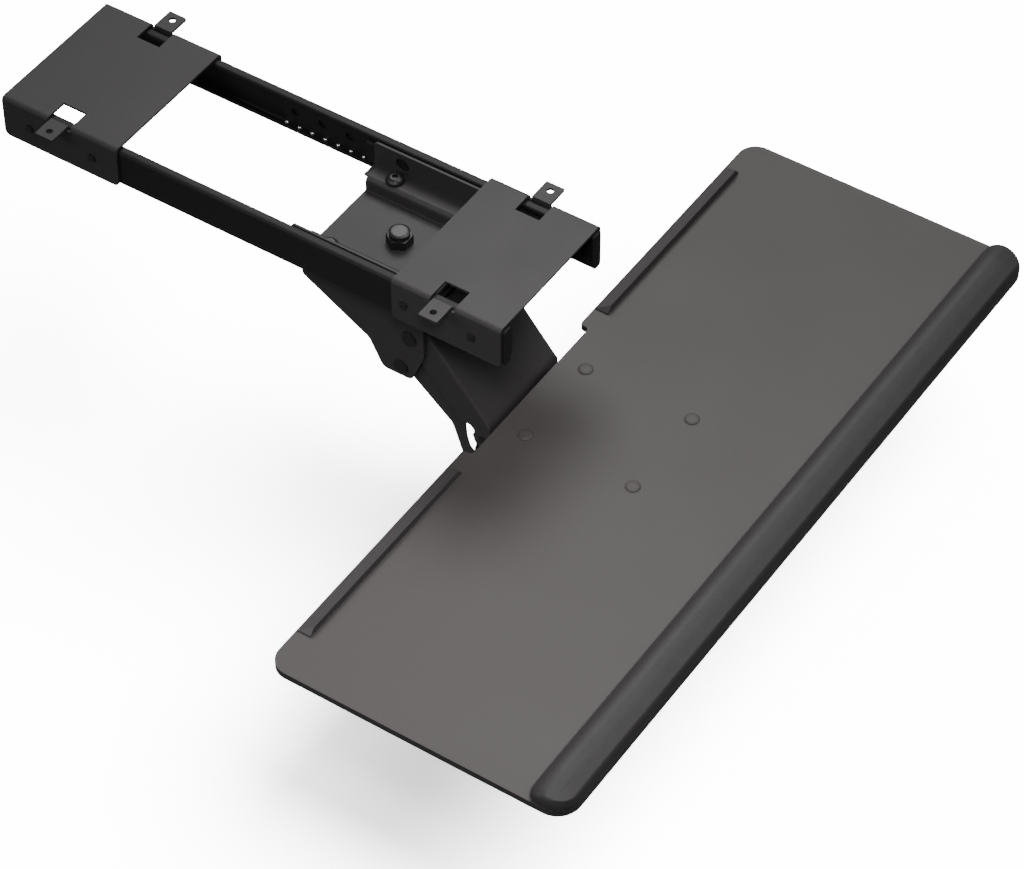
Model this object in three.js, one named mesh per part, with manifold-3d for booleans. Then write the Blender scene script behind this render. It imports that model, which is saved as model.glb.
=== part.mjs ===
// Keyboard tray that hangs under a desk on a sliding track.
// Two sheet brackets screw to the desk's underside and carry two ball slides. A carriage runs in the
// slides, a lift bracket swivels under it, and a parallel-link arm holds a tilting tray with a padded
// palm rest. All lengths are in millimetres.
// X runs across the tray, Y runs back from the user under the desk, Z is up. The origin lies on the
// desk's underside, at the middle of the front bracket. Before that last shift the pieces are placed
// from the front bracket's front edge.

import * as THREE from "three";
import { mergeVertices } from "three/addons/utils/BufferGeometryUtils.js";
import Module from "manifold-3d";

const wasm = await Module();
wasm.setup();

// General fits
const seatGap = 0.3;
const holeGap = 0.3;
const sideGap = 0.5;
const overrun = 5;

// Facets in a full turn
const coarseFacets = 8;
const roundFacets = 16;
const fineFacets = 32;
const ballFacets = 6;
const ballRings = 3;

// Desk brackets
const bracketWidth = 139.3;
const bracketSheet = 2.2;
const bracketDrop = 39.1;
const bracketBend = 4;
const bracketCorner = 5;
const frontBracketDepth = 99.9;
const rearBracketStart = 362.2;
const rearBracketDepth = 114.2;

// Screw tabs, each bent outwards from its window
const tabWidth = 17;
const tabReach = 18.7;
const tabCorner = 1.2;
const tabHole = 5.8;
const tabHoleReach = 10.8;
const windowInner = 47.6;
const windowWidth = 22.6;
const windowDepth = 6;
const frontTabY = 53.4;
const rearTabY = 419.3;

// Outer slides
const railHeight = 35;
const railTopGap = 1.3;
const railDepth = 8.4;
const railSheet = 1.5;
const railBend = 2.2;
const railCurl = 2.2;
const railLength = 470;
const railOverhang = 2;
const stopSheet = 1.8;
const stopReach = 10.6;
const stopChamfer = 7;

// Rivets that hold the slides in the brackets
const rivetHead = 8;
const rivetHeadRise = 1.4;
const rivetCrownShare = 0.33;
const rivetShank = 4;
const rivetTail = 6.4;
const rivetTailRise = 0.8;
const rivetInset = 26.5;
const rivetEdgeGap = 11.2;
const rearRivetInset = 25.5;

// Ball cages
const ballSize = 4.7;
const ballGap = 0.1;
const ballSetback = 4.4;
const ballPitch = 12.6;
const ballsPerEnd = 7;
const ballEndInset = 3.6;
const cageSheet = 0.8;

const cageLip = 3;
const cageWebSetback = 3.15;
const cageRearY = 297;
const cageLength = 240;
const cageHole = 8;
const cageHolePitch = 26.3;
const cageHoleInset = 11.8;

// Inner slides
const innerSheet = 1.5;
const innerBend = 1.8;
const innerLip = 4.1;
const innerRearY = 212;
const innerLength = 202;

// Carriage
const swivelY = 140.6;
const carriageLength = 113.6;
const carriageSheet = 2.5;
const carriageTop = 37.5;
const carriageStep = 13;
const carriageFoot = 34.7;
const carriageRidgeBend = 5;
const carriageFootBend = 3.2;
const angleSheet = 2;
const angleBend = 2.5;
const angleLength = 123.8;
const angleRise = 20.5;
const angleLeg = 16.4;
const angleCorner = 3;
const angleHole = 13;
const angleHoleRise = 11;

// Button-head screws of the carriage
const buttonHead = 15.8;
const buttonRise = 4.4;
const buttonShank = 8;
const buttonSetback = 12.2;
const buttonSpan = 70;
const buttonSocket = 5;
const buttonSocketDepth = 2;
// Dome of the head: radius and height
const buttonDomeShares = [
  [1, 0],
  [0.94, 0.45],
  [0.78, 0.8],
  [0.5, 1],
  [0, 1],
];

// Swivel
const swivelShank = 12;
const swivelHeadAcross = 18;
const swivelHeadRise = 7.5;
const swivelNutAcross = 19;
const swivelNutRise = 12.3;
const swivelNutHex = 8.2;
const swivelCollar = 17.2;
const swivelCollarLip = 13.6;
const swivelDisc = 68;
const swivelDiscSheet = 2;

// Lift bracket
const liftWidth = 104;
const liftSheet = 3;
const liftLength = 114.5;
const liftDrop = 78.4;
const liftBend = 5;
const liftCorner = 7;
const liftOutlineShares = [
  [0, 0],
  [0, 0.611],
  [0.103, 1],
  [0.342, 1],
  [0.453, 0.679],
  [1, 0.214],
  [1, 0],
];

// Pivots of the parallel links
const pivotSetback = 13.5;
const pivotDrop = 33.5;
const linkOffsetBack = 8.5;
const linkOffsetDown = 35.3;
const linkLength = 103.4;
const linkDropAngle = 50.2;
const pivotPin = 8;
const pivotHead = 14;
const pivotHeadRise = 1.5;

// Arm cover, the upper link
const coverSheet = 2;
const coverRise = 16;
const coverDepth = 25.8;
const coverBend = 3;
const coverNoseSetback = 12.9;
const coverNoseStart = linkLength - coverNoseSetback;
const coverNoseBend = 10;
const coverNoseAngle = 39.8;
const coverNoseLip = 4;
const coverBoss = 9;
const coverNotch = 6.3;
const coverNotchSetback = 13.4;
const coverNotchDrop = 8;

// Lower link, a channel nested in the cover
const lowerSheet = 2;
const lowerBoss = 9;
const lowerWebStart = 16;
// Share of the link's length
const lowerWebShare = 0.4062;
const lowerWebLength = lowerWebShare * linkLength;
// Circles along the link: place along it, height above the pivot line, and radius
const lowerChainShares = [
  [0, 0.075, 0.114],
  [0.591, 0.127, 0.066],
  [0.71, 0.067, 0.046],
  [0.82, 0.019, 0.044],
  [1, 0, 0.08],
];

// Head bracket, kept level by the links
const headSheet = 2.5;
const headOuter = 39;
const headBossUpper = 8.2;
const headBossLower = 8;
const headBossTilt = 9;
const headCollar = 13;
const headWebLength = 26;
const tiltPin = 8;
const tiltPinRise = 1.2;
const tiltPinHead = 12;
const tiltSetback = 26.66;
const tiltDrop = 21.2;

// Tray, placed from the head bracket's upper pivot
const trayWidth = 686;
const trayDepth = 264;
const traySheet = 6;
const trayRise = 22.74;
const trayRearSetback = 4.76;
const trayRearCorner = 17;
const trayFrontCorner = 20;
const notchWidth = 166;
const notchDepth = 8.4;
const notchCorner = 3;

// Mounting plate under the tray, with the two tilt ears
const plateSheet = 3;
const plateRearInset = 13.9;
const plateCorner = 8;
const earSheet = 2.5;
const earHalf = 12;
const earCorner = 4;

// Carriage bolts through the tray
const boltHead = 12.6;
const boltRise = 1.4;
const boltShank = 6;
const boltSpanX = 86;
const boltRearInset = 31.4;
const boltSpanY = 98.6;
const boltEnd = 2;
const boltSideMargin = 12;
const boltFrontMargin = 13.9;
const plateWidth = boltSpanX + 2 * boltSideMargin;
const plateLength = boltRearInset - plateRearInset + boltSpanY + boltFrontMargin;
const boltNutAcross = 10;
const boltNutRise = 5;
// Dome of the head: radius and height
const boltDomeShares = [
  [1, 0],
  [0.96, 0.3],
  [0.76, 0.72],
  [0.42, 0.95],
  [0, 1],
];

// Keyboard stops on the tray
const stopBarNotchGap = 21;
const stopBarEndGap = 39;
const stopBarInner = notchWidth / 2 + stopBarNotchGap;
const stopBarLength = trayWidth / 2 - stopBarEndGap - stopBarInner;
const stopBarDepth = 12;
const stopBarRise = 6.5;
const stopBarEdge = 0.8;
const stopBarBevel = 5;
const stopBarInset = 1;

// Palm rest
const padDepth = 35.2;
const padRise = 14.5;
const padRearCorner = 10;
const padFrontCorner = 20;
const padStations = 10;
// Rings of the pad from its base to its crown: inset and height
const padShares = [
  [0.06, 0],
  [0, 0.2],
  [0.02, 0.4],
  [0.1, 0.62],
  [0.24, 0.81],
  [0.45, 0.94],
  [0.7, 0.99],
  [0.92, 1],
];

// Finishes
const powderBlack = new THREE.Color("#3d3b3b");
const slideBlack = new THREE.Color("#242323");
const hardwareBlack = new THREE.Color("#2b2929");
const trayBlack = new THREE.Color("#4a4847");
const padBlack = new THREE.Color("#3a3738");
const bearingGrey = new THREE.Color("#8b8a88");

function finish(color, roughness, metalness) {
  return new THREE.MeshStandardMaterial({ color, roughness, metalness });
}

// Solids and geometries
function toSolid(geometry) {
  const bare = geometry.clone();
  bare.deleteAttribute("normal");
  bare.deleteAttribute("uv");
  const merged = mergeVertices(bare);
  const vertProperties = Float32Array.from(merged.attributes.position.array);
  const triVerts = Uint32Array.from(merged.index.array);
  return new wasm.Manifold(new wasm.Mesh({ numProp: 3, vertProperties, triVerts }));
}

function toGeometry(solid) {
  const mesh = solid.getMesh();
  const geometry = new THREE.BufferGeometry();
  geometry.setAttribute("position", new THREE.BufferAttribute(Float32Array.from(mesh.vertProperties), 3));
  geometry.setIndex(new THREE.BufferAttribute(Uint32Array.from(mesh.triVerts), 1));
  geometry.computeVertexNormals();
  return geometry;
}

function join(solids) {
  return solids.reduce((whole, next) => whole.add(next));
}

function cut(solid, tools) {
  return tools.reduce((left, tool) => left.subtract(tool), solid);
}

// Outlines are lists of [a, b] points
function arcPoints(centre, radius, from, sweep, facets) {
  const steps = Math.max(1, Math.round((Math.abs(sweep) / (2 * Math.PI)) * facets));
  const points = [];
  for (let i = 0; i <= steps; i += 1) {
    const angle = from + (sweep * i) / steps;
    points.push([centre[0] + radius * Math.cos(angle), centre[1] + radius * Math.sin(angle)]);
  }
  return points;
}

function circlePoints(centre, radius, facets) {
  return arcPoints(centre, radius, 0, 2 * Math.PI, facets).slice(0, -1);
}

// Rounds the corners of a closed outline, with one radius for each corner
function roundCorners(corners, radii, facets) {
  const points = [];
  corners.forEach((corner, i) => {
    const before = corners[(i + corners.length - 1) % corners.length];
    const after = corners[(i + 1) % corners.length];
    const radius = radii[i];
    if (!radius) {
      points.push(corner);
      return;
    }
    const toBefore = new THREE.Vector2(before[0] - corner[0], before[1] - corner[1]).normalize();
    const toAfter = new THREE.Vector2(after[0] - corner[0], after[1] - corner[1]).normalize();
    const half = Math.acos(THREE.MathUtils.clamp(toBefore.dot(toAfter), -1, 1)) / 2;
    const middle = toBefore.clone().add(toAfter).normalize();
    const reach = radius / Math.sin(half);
    const centre = [corner[0] + middle.x * reach, corner[1] + middle.y * reach];
    const along = radius / Math.tan(half);
    const start = [corner[0] + toBefore.x * along, corner[1] + toBefore.y * along];
    const end = [corner[0] + toAfter.x * along, corner[1] + toAfter.y * along];
    const from = Math.atan2(start[1] - centre[1], start[0] - centre[0]);
    const to = Math.atan2(end[1] - centre[1], end[0] - centre[0]);
    let sweep = to - from;
    if (sweep > Math.PI) sweep -= 2 * Math.PI;
    if (sweep < -Math.PI) sweep += 2 * Math.PI;
    points.push(...arcPoints(centre, radius, from, sweep, facets));
  });
  return points;
}

function rectangle(a0, a1, b0, b1) {
  return [[a0, b0], [a1, b0], [a1, b1], [a0, b1]];
}

function roundRectangle(a0, a1, b0, b1, radii, facets = roundFacets) {
  return roundCorners(rectangle(a0, a1, b0, b1), radii, facets);
}

// Section of a bent sheet about its centre line, with one bend radius for each inner corner
function bentSheet(line, sheet, bends, facets = roundFacets) {
  const centre = [line[0]];
  for (let i = 1; i < line.length - 1; i += 1) {
    const open = roundCorners([line[i - 1], line[i], line[i + 1]], [0, bends[i - 1], 0], facets);
    centre.push(...open.slice(1, -1));
  }
  centre.push(line[line.length - 1]);
  const sides = [[], []];
  centre.forEach((point, i) => {
    const before = centre[Math.max(0, i - 1)];
    const after = centre[Math.min(centre.length - 1, i + 1)];
    const into = new THREE.Vector2(point[0] - before[0], point[1] - before[1]);
    const out = new THREE.Vector2(after[0] - point[0], after[1] - point[1]);
    if (into.length() === 0) into.copy(out);
    if (out.length() === 0) out.copy(into);
    into.normalize();
    out.normalize();
    const normal = new THREE.Vector2(-into.y - out.y, into.x + out.x).normalize();
    const reach = sheet / 2 / normal.dot(new THREE.Vector2(-into.y, into.x));
    sides[0].push([point[0] + normal.x * reach, point[1] + normal.y * reach]);
    sides[1].push([point[0] - normal.x * reach, point[1] - normal.y * reach]);
  });
  return [...sides[0], ...sides[1].reverse()];
}

// Outer tangent points of two circles, on the right of the way from the first to the second
function tangentPoints(first, second) {
  const way = new THREE.Vector2(second.at[0] - first.at[0], second.at[1] - first.at[1]);
  const span = way.length();
  way.normalize();
  const lean = (first.radius - second.radius) / span;
  const side = Math.sqrt(1 - lean * lean);
  const normal = [way.x * lean + way.y * side, way.y * lean - way.x * side];
  return [first, second].map(({ at, radius }) => [at[0] + radius * normal[0], at[1] + radius * normal[1]]);
}

// Belt around circles that are listed anticlockwise
function beltOutline(circles, facets = roundFacets) {
  const points = [];
  circles.forEach((circle, i) => {
    const before = circles[(i + circles.length - 1) % circles.length];
    const after = circles[(i + 1) % circles.length];
    const entry = tangentPoints(before, circle)[1];
    const exit = tangentPoints(circle, after)[0];
    const from = Math.atan2(entry[1] - circle.at[1], entry[0] - circle.at[0]);
    const to = Math.atan2(exit[1] - circle.at[1], exit[0] - circle.at[0]);
    const sweep = THREE.MathUtils.euclideanModulo(to - from, 2 * Math.PI);
    points.push(...arcPoints(circle.at, circle.radius, from, sweep, facets));
  });
  return points;
}

function toShape(outline, holes = []) {
  const shape = new THREE.Shape(outline.map(([a, b]) => new THREE.Vector2(a, b)));
  holes.forEach((hole) => {
    shape.holes.push(new THREE.Path(hole.map(([a, b]) => new THREE.Vector2(a, b))));
  });
  return shape;
}

function extruded(outline, depth, holes) {
  return new THREE.ExtrudeGeometry(toShape(outline, holes), { depth, bevelEnabled: false });
}

// Prisms along each axis. Outlines are in (y, z), (x, z) and (x, y).
function prismX(outline, x0, x1, holes = []) {
  const geometry = extruded(outline, x1 - x0, holes);
  const basis = new THREE.Matrix4().makeBasis(
    new THREE.Vector3(0, 1, 0),
    new THREE.Vector3(0, 0, 1),
    new THREE.Vector3(1, 0, 0),
  );
  return toSolid(geometry.applyMatrix4(basis).translate(x0, 0, 0));
}

function prismY(outline, y0, y1, holes = []) {
  const geometry = extruded(outline, y1 - y0, holes);
  return toSolid(geometry.rotateX(Math.PI / 2).translate(0, y1, 0));
}

function prismZ(outline, z0, z1, holes = []) {
  const geometry = extruded(outline, z1 - z0, holes);
  return toSolid(geometry.translate(0, 0, z0));
}

function blockSolid(x0, x1, y0, y1, z0, z1) {
  return prismZ(rectangle(x0, x1, y0, y1), z0, z1);
}

// Turned pieces about Z, from a profile of [radius, height] points that starts and ends on the axis
function turned(profile, facets = roundFacets) {
  const points = profile.map(([radius, height]) => new THREE.Vector2(radius, height));
  return toSolid(new THREE.LatheGeometry(points, facets).rotateX(Math.PI / 2));
}

function hexOutline(across) {
  const radius = across / 2 / Math.cos(Math.PI / 6);
  return circlePoints([0, 0], radius, 6);
}

// Scene graph
const materials = {
  powder: () => finish(powderBlack, 0.6, 0.35),
  slide: () => finish(slideBlack, 0.45, 0.6),
  hardware: () => finish(hardwareBlack, 0.4, 0.7),
  tray: () => finish(trayBlack, 0.62, 0.2),
  pad: () => finish(padBlack, 0.75, 0),
  bearing: () => finish(bearingGrey, 0.5, 0.1),
};

function addMesh(group, name, solid, look, position = [0, 0, 0], turn = [0, 0, 0]) {
  const mesh = new THREE.Mesh(toGeometry(solid), materials[look]());
  mesh.name = name;
  mesh.position.set(...position);
  mesh.rotation.set(...turn);
  group.add(mesh);
  return mesh;
}

const mirrored = (solid) => solid.mirror([1, 0, 0]);
const sides = [["left", -1], ["right", 1]];
const onSide = (solid, sign) => (sign > 0 ? solid : mirrored(solid));

const product = new THREE.Group();
product.name = "keyboard_tray_under_desk";
const tray = new THREE.Group();
tray.position.set(0, -frontBracketDepth / 2, 0);
product.add(tray);

// Desk brackets
const bracketHalf = bracketWidth / 2;
const flangeInner = bracketHalf - bracketSheet;

function deskBracket(start, depth, tabY, rivets) {
  const section = bentSheet(
    [
      [-bracketHalf + bracketSheet / 2, -bracketDrop],
      [-bracketHalf + bracketSheet / 2, -bracketSheet / 2],
      [bracketHalf - bracketSheet / 2, -bracketSheet / 2],
      [bracketHalf - bracketSheet / 2, -bracketDrop],
    ],
    bracketSheet,
    [bracketBend - bracketSheet / 2, bracketBend - bracketSheet / 2],
  );
  const corners = [bracketCorner, bracketCorner, 0, 0];
  const side = roundRectangle(start, start + depth, -bracketDrop, overrun, corners);
  const channel = prismY(section, start, start + depth).intersect(
    prismX(side, -bracketHalf - overrun, bracketHalf + overrun),
  );
  const tabEnd = bracketHalf + tabReach;
  const tabHoleX = bracketHalf + tabHoleReach;
  const window = [tabY - windowWidth / 2, tabY + windowWidth / 2];
  const windowTool = blockSolid(windowInner, flangeInner, ...window, -windowDepth, overrun);
  const reliefTool = blockSolid(
    flangeInner - overrun, bracketHalf + overrun, ...window, -bracketBend, overrun,
  );
  const tabSpan = [tabY - tabWidth / 2, tabY + tabWidth / 2];
  const tab = prismZ(
    roundRectangle(flangeInner, tabEnd, ...tabSpan, [0, tabCorner, tabCorner, 0]),
    -bracketSheet,
    0,
    [circlePoints([tabHoleX, tabY], tabHole / 2, roundFacets)],
  );
  const tabRoot = blockSolid(
    flangeInner, bracketHalf, ...tabSpan, -bracketBend - overrun, -bracketSheet / 2,
  );
  const tools = sides.flatMap(([, sign]) => [onSide(windowTool, sign), onSide(reliefTool, sign)]);
  const tabs = sides.flatMap(([, sign]) => [onSide(tab, sign), onSide(tabRoot, sign)]);
  const rivetHoles = rivets.map((y) => prismX(
    circlePoints([y, rivetZ], rivetShank / 2 + holeGap, coarseFacets),
    -bracketHalf - overrun, bracketHalf + overrun,
  ));
  return cut(join([cut(channel, tools), ...tabs]), rivetHoles);
}

// Outer slides, with an end stop folded across each end
const railOuter = flangeInner - seatGap;
const railTop = -bracketSheet - railTopGap;
const railBottom = railTop - railHeight;
const railMiddle = railTop - railHeight / 2;
const rivetZ = railMiddle;

const railFront = -railOverhang;
const railRear = railFront + railLength;
const rearBracketEnd = rearBracketStart + rearBracketDepth;
const frontRivets = [rivetInset, frontBracketDepth - rivetEdgeGap];
const rearRivets = [rearBracketStart + rearRivetInset, rearBracketEnd - rivetInset];
const rivetYs = [...frontRivets, ...rearRivets];

function outerRail() {
  const lipX = railOuter - railDepth + railSheet / 2;
  const webX = railOuter - railSheet / 2;
  const section = bentSheet(
    [
      [lipX, railTop - railSheet - railCurl],
      [lipX, railTop - railSheet / 2],
      [webX, railTop - railSheet / 2],
      [webX, railBottom + railSheet / 2],
      [lipX, railBottom + railSheet / 2],
      [lipX, railBottom + railSheet + railCurl],
    ],
    railSheet,
    [railSheet / 2, railBend, railBend, railSheet / 2],
  );
  const stopInner = railOuter - stopReach;
  const stop = roundCorners(
    [
      [stopInner, railTop],
      [stopInner, railBottom + stopChamfer],
      [stopInner + stopChamfer, railBottom],
      [railOuter, railBottom],
      [railOuter, railTop],
    ],
    [railBend, railBend, railBend, railBend, railBend],
    roundFacets,
  );
  const rivetHoles = rivetYs.map((y) => (
    prismX(circlePoints([y, rivetZ], rivetShank / 2 + holeGap, coarseFacets), webX - overrun, webX + overrun)
  ));
  return cut(
    join([
      prismY(section, railFront, railRear),
      prismY(stop, railFront, railFront + stopSheet),
      prismY(stop, railRear - stopSheet, railRear),
    ]),
    rivetHoles,
  );
}

function slideRivet() {
  const headBase = bracketHalf + seatGap;
  const tailBase = railOuter - railSheet - seatGap;
  return turned([
    [0, tailBase - rivetTailRise],
    [rivetTail / 2, tailBase - rivetTailRise],
    [rivetTail / 2, tailBase],
    [rivetShank / 2, tailBase],
    [rivetShank / 2, headBase],
    [rivetHead / 2, headBase],
    [rivetHead / 2, headBase + rivetHeadRise / 2],
    [rivetHead * rivetCrownShare, headBase + rivetHeadRise],
    [0, headBase + rivetHeadRise],
  ], coarseFacets).rotate([0, 90, 0]);
}

// Ball cages
const ballZs = [
  railTop - railSheet - ballGap - ballSize / 2,
  railBottom + railSheet + ballGap + ballSize / 2,
];
const ballX = railOuter - ballSetback;

function ballCage() {
  const webX = railOuter - cageWebSetback - cageSheet / 2;
  const section = bentSheet(
    [
      [webX - cageLip, ballZs[0]],
      [webX, ballZs[0]],
      [webX, ballZs[1]],
      [webX - cageLip, ballZs[1]],
    ],
    cageSheet,
    [0, 0],
  );
  const front = cageRearY - cageLength;
  const holeCount = Math.floor((cageLength - cageHoleInset) / cageHolePitch);
  const holes = Array.from({ length: holeCount }, (_, i) => prismX(
    circlePoints([cageRearY - cageHoleInset - i * cageHolePitch, railMiddle], cageHole / 2, coarseFacets),
    webX - cageSheet, webX + cageSheet,
  ));
  const ball = toSolid(new THREE.SphereGeometry(ballSize / 2, ballFacets, ballRings).rotateX(Math.PI / 2));
  const rear = Array.from({ length: ballsPerEnd }, (_, i) => cageRearY - ballEndInset - i * ballPitch);
  const fore = Array.from({ length: ballsPerEnd }, (_, i) => front + ballEndInset + i * ballPitch);
  const balls = ballZs.flatMap((z) => [...rear, ...fore].map((y) => ball.translate([ballX, y, z])));
  return join([cut(prismY(section, front, cageRearY), holes), ...balls]);
}

// Inner slides
const innerTop = ballZs[0] - ballSize / 2 - ballGap;
const innerBottom = ballZs[1] + ballSize / 2 + ballGap;
const innerTip = railOuter - cageWebSetback - cageSheet - sideGap;
const innerWebX = innerTip - innerLip - innerSheet / 2;

function innerRail() {
  const section = bentSheet(
    [
      [innerTip, innerTop - innerSheet / 2],
      [innerWebX, innerTop - innerSheet / 2],
      [innerWebX, innerBottom + innerSheet / 2],
      [innerTip, innerBottom + innerSheet / 2],
    ],
    innerSheet,
    [innerBend, innerBend],
  );
  return prismY(section, innerRearY - innerLength, innerRearY);
}

// Carriage: a low centre between two raised sides, on an angle along each inner slide
const angleOuter = innerWebX - innerSheet / 2 - seatGap;
const carriageFront = swivelY - carriageLength / 2;
const carriageRear = swivelY + carriageLength / 2;
const raisedTop = -carriageTop + carriageStep;
const raisedOuter = angleOuter - angleSheet - seatGap;
const buttonX = angleOuter - buttonSetback;
const buttonYs = [swivelY - buttonSpan / 2, swivelY + buttonSpan / 2];

function carriagePlate() {
  const lowZ = -carriageTop - carriageSheet / 2;
  const highZ = raisedTop - carriageSheet / 2;
  const wallX = carriageFoot + carriageSheet / 2;
  const section = bentSheet(
    [
      [-raisedOuter, highZ],
      [-wallX, highZ],
      [-wallX, lowZ],
      [wallX, lowZ],
      [wallX, highZ],
      [raisedOuter, highZ],
    ],
    carriageSheet,
    [
      carriageRidgeBend - carriageSheet / 2,
      carriageFootBend - carriageSheet / 2,
      carriageFootBend - carriageSheet / 2,
      carriageRidgeBend - carriageSheet / 2,
    ],
    fineFacets,
  );
  const shankHoles = sides.flatMap(([, sign]) => buttonYs.map((y) => prismZ(
    circlePoints([sign * buttonX, y], buttonShank / 2 + holeGap, roundFacets),
    highZ - carriageSheet, highZ + carriageSheet,
  )));
  const swivelHole = prismZ(
    circlePoints([0, swivelY], swivelShank / 2 + holeGap, roundFacets),
    lowZ - carriageSheet, lowZ + carriageSheet,
  );
  return cut(prismY(section, carriageFront, carriageRear), [...shankHoles, swivelHole]);
}

const legTop = raisedTop - carriageSheet - seatGap;

function carriageAngle() {
  const legZ = legTop - angleSheet / 2;
  const webX = angleOuter - angleSheet / 2;
  const top = legTop + angleRise + angleSheet;
  const section = bentSheet(
    [[webX, top], [webX, legZ], [angleOuter - angleLeg, legZ]],
    angleSheet,
    [angleBend - angleSheet / 2],
  );
  const front = swivelY - angleLength / 2;
  const rear = swivelY + angleLength / 2;
  const corners = [0, 0, angleCorner, angleCorner];
  const profile = roundRectangle(front, rear, legTop - angleSheet - overrun, top, corners);
  const body = prismY(section, front, rear).intersect(prismX(profile, 0, angleOuter + overrun));
  const access = prismX(
    circlePoints([buttonYs[1], legTop + angleHoleRise], angleHole / 2, roundFacets),
    webX - angleSheet, webX + angleSheet,
  );
  const shankHoles = buttonYs.map((y) => prismZ(
    circlePoints([buttonX, y], buttonShank / 2 + holeGap, roundFacets),
    legZ - angleSheet, legZ + angleSheet,
  ));
  return cut(body, [access, ...shankHoles]);
}

function buttonScrew() {
  const base = raisedTop + seatGap;
  const end = legTop - angleSheet;
  const radius = buttonHead / 2;
  const body = turned([
    [0, end],
    [buttonShank / 2, end],
    [buttonShank / 2, base],
    ...buttonDomeShares.map(([out, up]) => [radius * out, base + buttonRise * up]),
  ]);
  const top = base + buttonRise;
  const socket = prismZ(hexOutline(buttonSocket), top - buttonSocketDepth, top + overrun);
  return body.subtract(socket);
}

// Swivel: a bolt through the carriage, a slip disc and the lift bracket
const discTop = -carriageTop - carriageSheet - seatGap;
const liftTop = discTop - swivelDiscSheet - seatGap;

function swivelDiscSolid() {
  return prismZ(
    circlePoints([0, 0], swivelDisc / 2, fineFacets),
    discTop - swivelDiscSheet, discTop,
    [circlePoints([0, 0], swivelShank / 2 + holeGap, roundFacets)],
  );
}

function swivelBolt() {
  const headTop = liftTop - liftSheet - seatGap;
  const tip = -carriageTop + seatGap + swivelNutRise;
  return join([
    prismZ(hexOutline(swivelHeadAcross), headTop - swivelHeadRise, headTop),
    prismZ(circlePoints([0, 0], swivelShank / 2, roundFacets), headTop - swivelHeadRise / 2, tip),
  ]);
}

function swivelNut() {
  const base = -carriageTop + seatGap;
  const corner = swivelNutAcross / 2 / Math.cos(Math.PI / 6);
  const crown = (corner - swivelNutAcross / 2) / 2;
  const collar = turned([
    [0, base],
    [corner - crown, base],
    [corner + crown, base + crown],
    [corner + crown, base + swivelNutHex - crown],
    [swivelNutAcross / 2, base + swivelNutHex],
    [swivelCollar / 2, base + swivelNutHex],
    [swivelCollar / 2, base + swivelNutRise - crown],
    [swivelCollarLip / 2, base + swivelNutRise],
    [0, base + swivelNutRise],
  ]);
  const prism = prismZ(hexOutline(swivelNutAcross), base, base + swivelNutRise);
  const bore = prismZ(
    circlePoints([0, 0], swivelShank / 2 + holeGap, roundFacets),
    base - overrun, base + swivelNutRise + overrun,
  );
  return collar.intersect(prism).subtract(bore);
}

// Lift bracket: a channel with deep side plates that carry both link pivots
const liftHalf = liftWidth / 2;
const liftInner = liftHalf - liftSheet;
const liftFront = swivelY - liftLength / 2;
const upperPivot = [liftFront + pivotSetback, liftTop - pivotDrop];
const lowerPivot = [upperPivot[0] + linkOffsetBack, upperPivot[1] - linkOffsetDown];

function pinHole(at, pin, half) {
  return prismX(circlePoints(at, pin / 2 + holeGap, roundFacets), -half - overrun, half + overrun);
}

function liftBracket() {
  const corners = liftOutlineShares.map(([back, down]) => [
    liftFront + back * liftLength,
    liftTop - down * liftDrop,
  ]);
  const radii = [0, liftCorner, liftCorner, liftCorner, liftCorner, liftBend, 0];
  const outline = roundCorners(corners, radii, roundFacets);
  const section = roundRectangle(
    -liftHalf, liftHalf, liftTop - liftDrop - overrun, liftTop, [0, 0, liftBend, liftBend],
  );
  const block = prismX(outline, -liftHalf, liftHalf).intersect(
    prismY(section, liftFront - overrun, liftFront + liftLength + overrun),
  );
  const hollow = blockSolid(
    -liftInner, liftInner, liftFront - overrun, liftFront + liftLength + overrun,
    liftTop - liftDrop - overrun, liftTop - liftSheet,
  );
  const swivelHole = prismZ(
    circlePoints([0, swivelY], swivelShank / 2 + holeGap, roundFacets),
    liftTop - liftSheet - overrun, liftTop + overrun,
  );
  return cut(block, [
    hollow, swivelHole, pinHole(upperPivot, pivotPin, liftHalf), pinHole(lowerPivot, pivotPin, liftHalf),
  ]);
}

// A pin across both sides, with a head on each end and a collar where a wide gap is taken up
function crossPin(pin, faceHalf, head, headRise, collar = null) {
  const outer = faceHalf + seatGap;
  const parts = [
    prismX(circlePoints([0, 0], pin / 2, roundFacets), -outer - headRise / 2, outer + headRise / 2),
  ];
  sides.forEach(([, sign]) => {
    const cap = turned([
      [0, outer],
      [head / 2, outer],
      [head / 2, outer + headRise / 2],
      [head / 2 - headRise, outer + headRise],
      [0, outer + headRise],
    ]).rotate([0, 90, 0]);
    parts.push(onSide(cap, sign));
    if (collar) {
      const [radius, from, to] = collar;
      parts.push(onSide(prismX(circlePoints([0, 0], radius, roundFacets), from, to), sign));
    }
  });
  return join(parts);
}

// Links, in their own frame: the pivot line runs along -Y, the tray's end is away from the pivot
const dropAngle = THREE.MathUtils.degToRad(linkDropAngle);
const linkTurn = [dropAngle, 0, 0];
const headUpper = [
  upperPivot[0] - linkLength * Math.cos(dropAngle),
  upperPivot[1] - linkLength * Math.sin(dropAngle),
];
const headLower = [headUpper[0] + linkOffsetBack, headUpper[1] - linkOffsetDown];
const coverHalf = liftInner - sideGap;
const coverInner = coverHalf - coverSheet;
const lowerHalf = coverInner - sideGap;
const lowerInner = lowerHalf - lowerSheet;

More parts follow.
